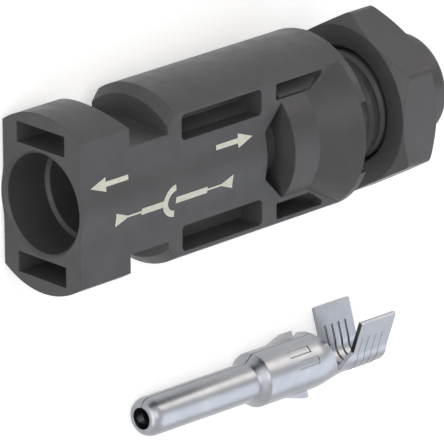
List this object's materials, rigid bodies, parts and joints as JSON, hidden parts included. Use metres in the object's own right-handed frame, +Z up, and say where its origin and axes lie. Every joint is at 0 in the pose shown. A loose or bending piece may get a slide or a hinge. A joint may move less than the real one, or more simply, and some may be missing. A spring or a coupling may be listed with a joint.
{
  "type": "solar cable connector",
  "caption": "In-line solar cable coupler with latch slots, threaded neck, turning gland nut, clamp cage and seal, and its loose crimp pin beside it.",
  "frame": {"origin": "middle of the footprint of coupler and pin, on the surface that they lie on", "axes": "+X from the mating face to the gland nut, +Y away from the loose pin, +Z up"},
  "size_m": [0.0524, 0.042, 0.0181],
  "materials": {
    "housing_plastic": "fine matt moulded black-grey plastic with cream printed arrows",
    "nut_plastic": "fine matt moulded black-grey plastic",
    "cage_plastic": "natural grey moulded plastic",
    "seal_rubber": "soft matt black rubber",
    "tinned_copper": "bright tin plating over rolled copper sheet"
  },
  "bodies": {
    "coupler": {"housing": "housing_plastic", "pin_contact": "tinned_copper"},
    "cage": {"clamp_cage": "cage_plastic", "cable_seal": "seal_rubber"},
    "nut": {"gland_nut": "nut_plastic"}
  },
  "joints": [
    {"name": "gland_slide", "type": "slide", "parent": "coupler", "child": "cage", "axis": [0.9953, 0, 0.0969], "range_m": [-0.00112, 0.002]},
    {"name": "nut_turn", "type": "hinge", "parent": "cage", "child": "nut", "pos_m": [0.01453, 0.01168, 0.00949], "axis": [0.9953, 0, 0.0969], "range_deg": [-270, 480]}
  ],
  "couplings": [
    {"joint": "gland_slide", "follows": "nut_turn", "m_per_rad": 0.00023873}
  ]
}
